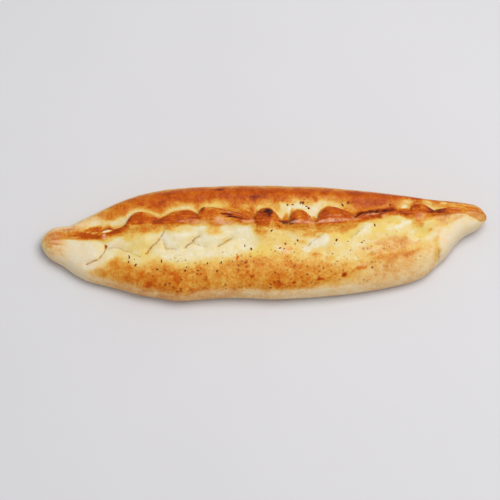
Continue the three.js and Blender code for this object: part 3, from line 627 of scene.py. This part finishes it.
points = np.concatenate([
    [tip_point(-HALF)], place.transpose(1, 0, 2).reshape(-1, 3), [tip_point(HALF)],
])
shift_x = (bread_low.x + bread_high.x) / MM / 2 - (points[:, 0].min() + points[:, 0].max()) / 2
shift_y = (bread_low.y + bread_high.y) / MM / 2 - (points[:, 1].min() + points[:, 1].max()) / 2
points[:, :2] += (shift_x, shift_y)
pairs = list(zip(range(around), [*range(1, around), 0]))
faces = [(0, 1 + a, 1 + b) for a, b in pairs]
for ring in range(rings - 1):
    near, far = 1 + ring * around, 1 + (ring + 1) * around
    faces += [(near + a, far + a, far + b, near + b) for a, b in pairs]
last = len(points) - 1
faces += [(last, last - around + b, last - around + a) for a, b in pairs]
mesh = bpy.data.meshes.new("crust")
mesh.from_pydata((points * MM).tolist(), [], faces)
mesh.shade_smooth()


def paint(name, values):
    """A value on each point of the skin, read by the material."""
    at_tips = np.concatenate([[values[:, 0].mean()], values.T.reshape(-1), [values[:, -1].mean()]])
    mesh.attributes.new(name, "FLOAT", "POINT").data.foreach_set("value", np.clip(at_tips, 0, 1))


paint("browning", browning)
paint("dry", dry)
paint("yolk", yolk)
paint("scorch_and_crack_shade", scorch_and_crack_shade)
paint("painted_highlight", painted_highlight)
paint("freckled", freckled)
paint("crease_shade", fold_line_shade)


def placed(name, data):
    """A new object that holds the data, in the scene."""
    made = bpy.data.objects.new(name, data)
    bpy.context.collection.objects.link(made)
    return made


bread = placed("baked_crust", mesh)


# The crust's material: the colours of dough, egg wash and browning, and of the painted highlights and
# shade, as sRGB bytes
def colour(red, green, blue):
    """A colour given as the eye sees it, for a shader."""
    light = [((c / 255 + 0.055) / 1.055) ** 2.4 if c > 10 else c / 3294.6 for c in (red, green, blue)]
    return (*light, 1)


WASHED = [
    (0, (237, 228, 202)), (0.12, (232, 214, 160)), (0.25, (231, 196, 112)), (0.4, (225, 167, 74)),
    (0.5, (217, 145, 50)), (0.62, (208, 118, 25)), (0.75, (192, 83, 4)), (0.88, (150, 56, 12)),
    (1, (78, 36, 16)),
]
FLOURY = [
    (0, (232, 222, 198)), (0.2, (238, 210, 162)), (0.4, (228, 176, 112)), (0.6, (208, 140, 76)),
    (1, (160, 92, 44)),
]
# The pink is a painted highlight on the seam and the tips
YOLK_YELLOW, HIGHLIGHT_PINK = (232, 203, 104), (238, 176, 134)
# Browns for scorched crust, used also for painted shade in the seam's cracks and under its lips
SCORCH_AND_SHADE_BROWN, SCORCH_AND_SHADE_BLACK = (128, 44, 10), (44, 22, 14)
# The brown of the painted shade along the folds
CREASE_SHADE_BROWN, RUST = (154, 92, 44), (148, 58, 14)
# Sizes in metres: of the dots and what stirs them, and of pores and puckers in depth
DOT, DOT_STIR, DOT_BENT_BY, PORE_DEPTH, PUCKER_DEPTH = 0.0038, 0.003, 0.002, 0.0004, 0.0012
# Noise in the crust: size in metres, detail and roughness
CLOUD, SPECK, PORE, PUCKER = (0.009, 4, 0.6), (0.0022, 2, 0.6), (0.0016, 3, 0.6), (0.007, 3, 0.5)
MARK_BREAK, LINE_BREAK = (0.004, 3, 0.6), (0.0026, 2, 0.6)
DOT_CLUSTER, SHEEN_PATCH = (0.016, 2), (0.006, 3)
WASHED_ROUGHNESS, DRY_ROUGHNESS = 0.4, 0.78
SPECK_SHARE = 0.6  # of the clouds' strength
# Ranges: from and to, and the values that their two ends are given
MOTTLES_GROW, MOTTLES_FADE = (0.06, 0.5, 0.3, 0.7), (0.62, 0.8, 1, 0.5)
YOLK_FADES, BROKEN, DASHED = (0.3, 0.55, 0.85, 0.15), (0.38, 0.6, 0.25, 1), (0.36, 0.56, 0.25, 1)
BROWN_STEP, BLACK_STEP = (0, 0.4, 0, 1), (0.35, 0.9, 0, 1)
DOT_RIM, DOT_CHOICE, DOTS_GATHER = (0.18, 0.46, 1, 0), (0.35, 0.85, 0, 0.9), (0.4, 0.55, 0.3, 1)
SHEEN_VARIES = (0.3, 0.7, -0.08, 0.1)


def feed(tree, socket, given):
    """A socket gets its value, or a link from another node's output."""
    if isinstance(given, bpy.types.NodeSocket):
        tree.links.new(given, socket)
    else:
        socket.default_value = given


def node(tree, kind, settings=None, **inputs):
    """A node with its settings and its inputs, by name or, as i0, i1 and on, by number."""
    made = tree.nodes.new(kind)
    for name, value in (settings or {}).items():
        setattr(made, name, value)
    for name, value in inputs.items():
        numbered = name[0] == "i" and name[1:].isdigit()
        feed(tree, made.inputs[int(name[1:]) if numbered else name.replace("_", " ")], value)
    return made


def ramp(tree, level, stops):
    """A colour ramp read at level."""
    made = tree.nodes.new("ShaderNodeValToRGB")
    elements = made.color_ramp.elements
    while len(elements) < len(stops):
        elements.new(1)
    for element, (position, stop) in zip(elements, stops):
        element.position = position
        element.color = colour(*stop)
    tree.links.new(level, made.inputs["Fac"])
    return made.outputs["Color"]


def mix(tree, share, below, above):
    """above laid over below by share."""
    return node(tree, "ShaderNodeMix", {"data_type": "RGBA"}, i0=share, i6=below, i7=above).outputs[2]


def maths(tree, operation, first, second=0.0, third=0.0):
    """The result of one sum."""
    return node(tree, "ShaderNodeMath", {"operation": operation}, i0=first, i1=second, i2=third).outputs[0]


def mapped(tree, value, from_low, from_high, to_low, to_high):
    """value moved from one range to another, kept inside it."""
    made = node(tree, "ShaderNodeMapRange", i0=value, i1=from_low, i2=from_high, i3=to_low, i4=to_high)
    return made.outputs[0]


def grain(tree, where, size, detail=3.0, roughness=0.5):
    """Noise from 0 to 1 with lumps of about size, in metres."""
    settings = {"Scale": 1 / size, "Detail": detail, "Roughness": roughness}
    return node(tree, "ShaderNodeTexNoise", Vector=where, **settings).outputs["Fac"]


def painted(tree, name):
    """A value painted on the skin."""
    return node(tree, "ShaderNodeAttribute", {"attribute_name": name}).outputs["Fac"]


def new_material(name):
    """A new material, its nodes, and the place on the piece that it is read at."""
    made = bpy.data.materials.new(name)
    made.use_nodes = True
    return made, made.node_tree, node(made.node_tree, "ShaderNodeTexCoord").outputs["Object"]


def finish_surface(tree, **inputs):
    """The surface of a material gets its values and what its nodes give."""
    for name, value in inputs.items():
        feed(tree, tree.nodes["Principled BSDF"].inputs[name.replace("_", " ")], value)


crust, tree, where = new_material("egg_washed_crust")
level, floury = painted(tree, "browning"), painted(tree, "dry")

# Mottling: soft clouds and fine freckles, stronger where the crust is browner
clouds = maths(tree, "SUBTRACT", grain(tree, where, *CLOUD), 0.5)
specks = maths(tree, "SUBTRACT", grain(tree, where, *SPECK), 0.5)
strength = mapped(tree, level, *MOTTLES_GROW)
strength = maths(tree, "MULTIPLY", strength, mapped(tree, level, *MOTTLES_FADE))
mottled = maths(tree, "MULTIPLY_ADD", clouds, strength, level)
mottled = maths(tree, "MULTIPLY_ADD", specks, maths(tree, "MULTIPLY", strength, SPECK_SHARE), mottled)

shade = mix(tree, floury, ramp(tree, mottled, WASHED), ramp(tree, mottled, FLOURY))
pool = maths(tree, "MULTIPLY", painted(tree, "yolk"), mapped(tree, mottled, *YOLK_FADES))
shade = mix(tree, pool, shade, colour(*YOLK_YELLOW))
broken = mapped(tree, grain(tree, where, *MARK_BREAK), *BROKEN)
# Scorched crust and painted shade in the seam's cracks: first a toasted brown, then almost black
burnt_and_crack_shade = maths(tree, "MULTIPLY", painted(tree, "scorch_and_crack_shade"), broken)
shade = mix(tree, mapped(tree, burnt_and_crack_shade, *BROWN_STEP), shade, colour(*SCORCH_AND_SHADE_BROWN))
shade = mix(tree, mapped(tree, burnt_and_crack_shade, *BLACK_STEP), shade, colour(*SCORCH_AND_SHADE_BLACK))
# Painted highlights in pale pink, broken up, where the seam and the tips catch the light
shade = mix(tree, maths(tree, "MULTIPLY", painted(tree, "painted_highlight"), broken), shade, colour(*HIGHLIGHT_PINK))
dashed = mapped(tree, grain(tree, where, *LINE_BREAK), *DASHED)
# Painted shade along the bottom of each fold, as a broken brown line
shade = mix(tree, maths(tree, "MULTIPLY", painted(tree, "crease_shade"), dashed), shade, colour(*CREASE_SHADE_BROWN))

# Rust-brown dots, where the wash blistered
stirred = node(tree, "ShaderNodeTexNoise", Vector=where, Scale=1 / DOT_STIR, Detail=2.0)
bent = node(
    tree, "ShaderNodeVectorMath", {"operation": "MULTIPLY_ADD"},
    i0=stirred.outputs["Color"], i1=(DOT_BENT_BY,) * 3, i2=where,
)
cells = node(tree, "ShaderNodeTexVoronoi", Vector=bent.outputs[0], Scale=1 / DOT)
drawn = node(tree, "ShaderNodeSeparateColor", Color=cells.outputs["Color"]).outputs[0]
round_dots = mapped(tree, cells.outputs["Distance"], *DOT_RIM)
dots = maths(tree, "MULTIPLY", round_dots, mapped(tree, drawn, *DOT_CHOICE))
clusters = mapped(tree, grain(tree, where, *DOT_CLUSTER), *DOTS_GATHER)
dots = maths(tree, "MULTIPLY", maths(tree, "MULTIPLY", dots, clusters), painted(tree, "freckled"))
shade = mix(tree, dots, shade, colour(*RUST))

# Gloss where the wash is, and a skin of pores and small blisters
sheen = mapped(tree, grain(tree, where, *SHEEN_PATCH), *SHEEN_VARIES)
gloss = maths(tree, "ADD", mapped(tree, floury, 0, 1, WASHED_ROUGHNESS, DRY_ROUGHNESS), sheen)
pores = node(
    tree, "ShaderNodeBump", Strength=0.5, Distance=PORE_DEPTH, Height=grain(tree, where, *PORE)
)
puckers = node(
    tree, "ShaderNodeBump", Strength=0.6, Distance=PUCKER_DEPTH,
    Height=grain(tree, where, *PUCKER), Normal=pores.outputs["Normal"],
)
finish_surface(
    tree, Base_Color=shade, Roughness=gloss, Normal=puckers.outputs["Normal"], Specular_IOR_Level=0.12,
    Subsurface_Weight=0.08, Subsurface_Radius=(1, 0.5, 0.25), Subsurface_Scale=0.003,
)
mesh.materials.append(crust)
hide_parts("bread")
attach(bread, "root")

# The dried herbs. Crushed leaves, baked to a dark red-brown and almost black, were
# strewn over the wet egg wash by hand, so they stick to the crust where they fell.
LARGE_FLAKES = [
    (-126.5, -19.4), (-127, -23.6), (-120.5, -26.8), (-100, -31.5), (-96, -24), (-74, -33.5),
    (-62, -33.5), (-53, -27.1), (-44, -34), (-40, -26.4), (-18, -10.3), (-12, -13.1), (20, -8),
    (68, -4.4), (22, 32), (27, 32.6), (35, 34.9), (37, 34.5), (40, 31), (42, 29.1), (74, 32.7),
    (79, 34.9), (104, 10.9), (31.5, -4.7), (15, -12.2), (7, 3.1), (92, -5.6), (119, 33.8),
]
HERB_FALLS = [
    (35, 34, 14, 4, 3), (82, 34, 6, 3, 2), (-118, -18, 10, 8, 4), (-75, -25, 22, 6, 5),
    (-30, -23, 20, 8, 6), (22, -17, 20, 13, 8), (70, -15, 18, 12, 5), (112, -7, 20, 9, 4),
]
LARGE_FLAKE, SMALL_FLAKE = 1.4, 0.75  # shares of the usual flake
CRUMBS_TO_A_FLAKE, CRUMB_SIZES = 2, (0.3, 0.5)
CRUMB_SCATTER, CRUMB_REACH = 0.6, 1.2  # how wide the crumbs fall, as shares of the flakes' spread
DRAW_REACH, DRAW_WAY = 0.7548776662, 0.569840291  # steps of the even draw that spreads the flakes
DROP_HEIGHT = 0.2

skin_tree = BVHTree.FromPolygons([Vector(point) for point in points * MM], faces)
chance = np.random.default_rng(seed=7)


def settled(x, y, size):
    """Where a flake of that size comes to rest: its place, the way the crust faces, and its size."""
    above = Vector(((x + shift_x) * MM, (y + shift_y) * MM, DROP_HEIGHT))
    hit = skin_tree.ray_cast(above, Vector((0, 0, -1)))
    return hit[0], hit[1], size


fallen = [settled(x, y, LARGE_FLAKE) for x, y in LARGE_FLAKES]
number = 0
for x, y, spread_x, spread_y, count in HERB_FALLS:
    for _ in range(count):
        number += 1
        reach = math.sqrt((0.5 + number * DRAW_REACH) % 1)
        way = 2 * math.pi * ((0.5 + number * DRAW_WAY) % 1)
        flake_x, flake_y = x + spread_x * reach * math.cos(way), y + spread_y * reach * math.sin(way)
        fallen.append(settled(flake_x, flake_y, SMALL_FLAKE))
    for _ in range(count * CRUMBS_TO_A_FLAKE):
        dx, dy = chance.normal(0, CRUMB_SCATTER, 2)
        crumb_x, crumb_y = x + CRUMB_REACH * spread_x * dx, y + CRUMB_REACH * spread_y * dy
        fallen.append(settled(crumb_x, crumb_y, chance.uniform(*CRUMB_SIZES)))

herb_mesh = bpy.data.meshes.new("herbs")
herb_mesh.from_pydata([landed for landed, _, _ in fallen], [], [])
herb_mesh.attributes.new("facing", "FLOAT_VECTOR", "POINT").data.foreach_set(
    "vector", np.array([way_up for _, way_up, _ in fallen]).ravel()
)
herb_mesh.attributes.new("size", "FLOAT", "POINT").data.foreach_set(
    "value", [size for _, _, size in fallen]
)
herbs = placed("herb_flakes", herb_mesh)

herb_leaf, leaf_tree, leaf_place = new_material("dried_herb")
LEAF_BROWNS = [(0.3, (74, 26, 10)), (0.45, (120, 48, 18)), (0.55, (142, 62, 24)), (0.7, (92, 34, 12))]
LEAF_PATCH, LEAF_CRUMPLE, CRUMPLE_DEPTH = 0.005, 0.0005, 0.0002
leaf_shade = ramp(leaf_tree, grain(leaf_tree, leaf_place, LEAF_PATCH, 1), LEAF_BROWNS)
crumpled = node(
    leaf_tree, "ShaderNodeBump", Strength=0.5, Distance=CRUMPLE_DEPTH,
    Height=grain(leaf_tree, leaf_place, LEAF_CRUMPLE),
)
finish_surface(
    leaf_tree, Base_Color=leaf_shade, Normal=crumpled.outputs["Normal"], Roughness=0.8,
    Specular_IOR_Level=0.1,
)

# Each flake is a five-sided chip, drawn out and turned by chance, that lies on the crust
FLAKE_TILT = 0.35
LEAST_DRAWN, MOST_DRAWN = (0.7, 0.6, 0.7), (1.35, 1.3, 1.3)
FLAKE_SIZES = {
    "Flake length": 2.2 * MM, "Flake breadth": 1.2 * MM, "Flake thickness": 0.5 * MM, "Seed": 3,
}
strew = bpy.data.node_groups.new("strewn_flakes", "GeometryNodeTree")
sockets = strew.interface
sockets.new_socket("Points", in_out="INPUT", socket_type="NodeSocketGeometry")
for name, value in FLAKE_SIZES.items():
    kind = "NodeSocketInt" if isinstance(value, int) else "NodeSocketFloat"
    sockets.new_socket(name, in_out="INPUT", socket_type=kind)
sockets.new_socket("Flakes", in_out="OUTPUT", socket_type="NodeSocketGeometry")
given = node(strew, "NodeGroupInput").outputs
chip = node(strew, "GeometryNodeMeshCylinder", Vertices=5, Radius=0.5, Depth=1.0)
facing = node(strew, "GeometryNodeInputNamedAttribute", {"data_type": "FLOAT_VECTOR"}, Name="facing")
lying = node(strew, "FunctionNodeAlignRotationToVector", {"axis": "Z"}, Vector=facing.outputs[0])
turn = node(
    strew, "FunctionNodeRandomValue", {"data_type": "FLOAT_VECTOR"},
    i0=(-FLAKE_TILT, -FLAKE_TILT, 0), i1=(FLAKE_TILT, FLAKE_TILT, 2 * math.pi), Seed=given["Seed"],
)
turned = node(
    strew, "FunctionNodeRotateRotation", {"rotation_space": "LOCAL"},
    Rotation=lying.outputs[0], Rotate_By=turn.outputs["Value"],
)
drawn_by = node(
    strew, "FunctionNodeRandomValue", {"data_type": "FLOAT_VECTOR"},
    i0=LEAST_DRAWN, i1=MOST_DRAWN, Seed=given["Seed"],
)
usual = node(
    strew, "ShaderNodeCombineXYZ",
    X=given["Flake length"], Y=given["Flake breadth"], Z=given["Flake thickness"],
)
own_size = node(strew, "GeometryNodeInputNamedAttribute", {"data_type": "FLOAT"}, Name="size")
drawn_out = node(
    strew, "ShaderNodeVectorMath", {"operation": "MULTIPLY"},
    i0=usual.outputs[0], i1=drawn_by.outputs["Value"],
)
flake_size = node(
    strew, "ShaderNodeVectorMath", {"operation": "SCALE"},
    i0=drawn_out.outputs[0], Scale=own_size.outputs[0],
)
laid = node(
    strew, "GeometryNodeInstanceOnPoints", Points=given["Points"], Instance=chip.outputs["Mesh"],
    Rotation=turned.outputs[0], Scale=flake_size.outputs[0],
)
real = node(strew, "GeometryNodeRealizeInstances", Geometry=laid.outputs[0])
dressed = node(strew, "GeometryNodeSetMaterial", Geometry=real.outputs[0], Material=herb_leaf)
strewn_out = strew.nodes.new("NodeGroupOutput")
strew.links.new(dressed.outputs[0], strewn_out.inputs["Flakes"])

strewing = herbs.modifiers.new("strewing", "NODES")
strewing.node_group = strew
for socket in sockets.items_tree:
    if socket.in_out == "INPUT" and socket.name in FLAKE_SIZES:
        strewing[socket.identifier] = FLAKE_SIZES[socket.name]
ready = herbs.evaluated_get(bpy.context.evaluated_depsgraph_get())
strewn = bpy.data.meshes.new_from_object(ready)
herbs.modifiers.clear()
herbs.data = strewn
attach(herbs, "root")

# The floor. A plain, pale, matt sheet that the bread stands on, very slightly uneven in
# its tone.
FLOOR_SIZE, FLOOR_CLOUD = 8, 0.2
FLOOR_GREY, FLOOR_PALE = (214, 213, 216), (220, 219, 222)
half = FLOOR_SIZE / 2
floor_mesh = bpy.data.meshes.new("floor")
corners = [(-half, -half, 0), (half, -half, 0), (half, half, 0), (-half, half, 0)]
floor_mesh.from_pydata(corners, [], [(0, 1, 2, 3)])
floor = placed("floor", floor_mesh)
floor_paint, floor_tree, floor_place = new_material("pale_floor")
floor_tone = grain(floor_tree, floor_place, FLOOR_CLOUD)
floor_shade = mix(floor_tree, floor_tone, colour(*FLOOR_GREY), colour(*FLOOR_PALE))
finish_surface(floor_tree, Base_Color=floor_shade, Roughness=0.8)
floor_mesh.materials.append(floor_paint)

# The light. One broad soft box stands high up on the right, and a pale room gives the
# rest evenly.
KEY_PLACE, KEY_SIZE, KEY_POWER, KEY_TINT = Vector((0.5, 0.15, 1.8)), 1.2, 23.8, (1, 0.985, 0.96)
ROOM_LIGHT, ROOM_TINT = 0.475, (0.97, 0.98, 1, 1)
key_data = bpy.data.lights.new("soft_box", "AREA")
key_data.shape = "SQUARE"
key_data.size = KEY_SIZE
key_data.energy = KEY_POWER
key_data.color = KEY_TINT
key = placed("soft_box", key_data)
key.location = KEY_PLACE
key.rotation_euler = (-KEY_PLACE).to_track_quat("-Z", "Y").to_euler()
room = bpy.data.worlds.new("room")
room.use_nodes = True
room_shader = room.node_tree.nodes["Background"]
room_shader.inputs["Color"].default_value = ROOM_TINT
room_shader.inputs["Strength"].default_value = ROOM_LIGHT
bpy.context.scene.world = room
bpy.context.scene.view_settings.view_transform = "Standard"

# The camera. It looks down at the bread from in front, through a long lens, as in the
# photograph. The width seen is in metres, and the lens and the sensor in millimetres.
CAMERA_RISE = math.radians(70)
SEEN_WIDTH, LENS, SENSOR = 0.4706, 400, 36
LOOK_AT = Vector((-0.01318, -0.0088, 0.02))
camera_data = bpy.data.cameras.new("camera")
camera_data.lens, camera_data.sensor_width = LENS, SENSOR
camera = placed("camera", camera_data)
camera_distance = SEEN_WIDTH * LENS / SENSOR
camera.location = LOOK_AT + camera_distance * Vector((0, -math.cos(CAMERA_RISE), math.sin(CAMERA_RISE)))
camera.rotation_euler = (math.pi / 2 - CAMERA_RISE, 0, 0)
bpy.context.scene.camera = camera
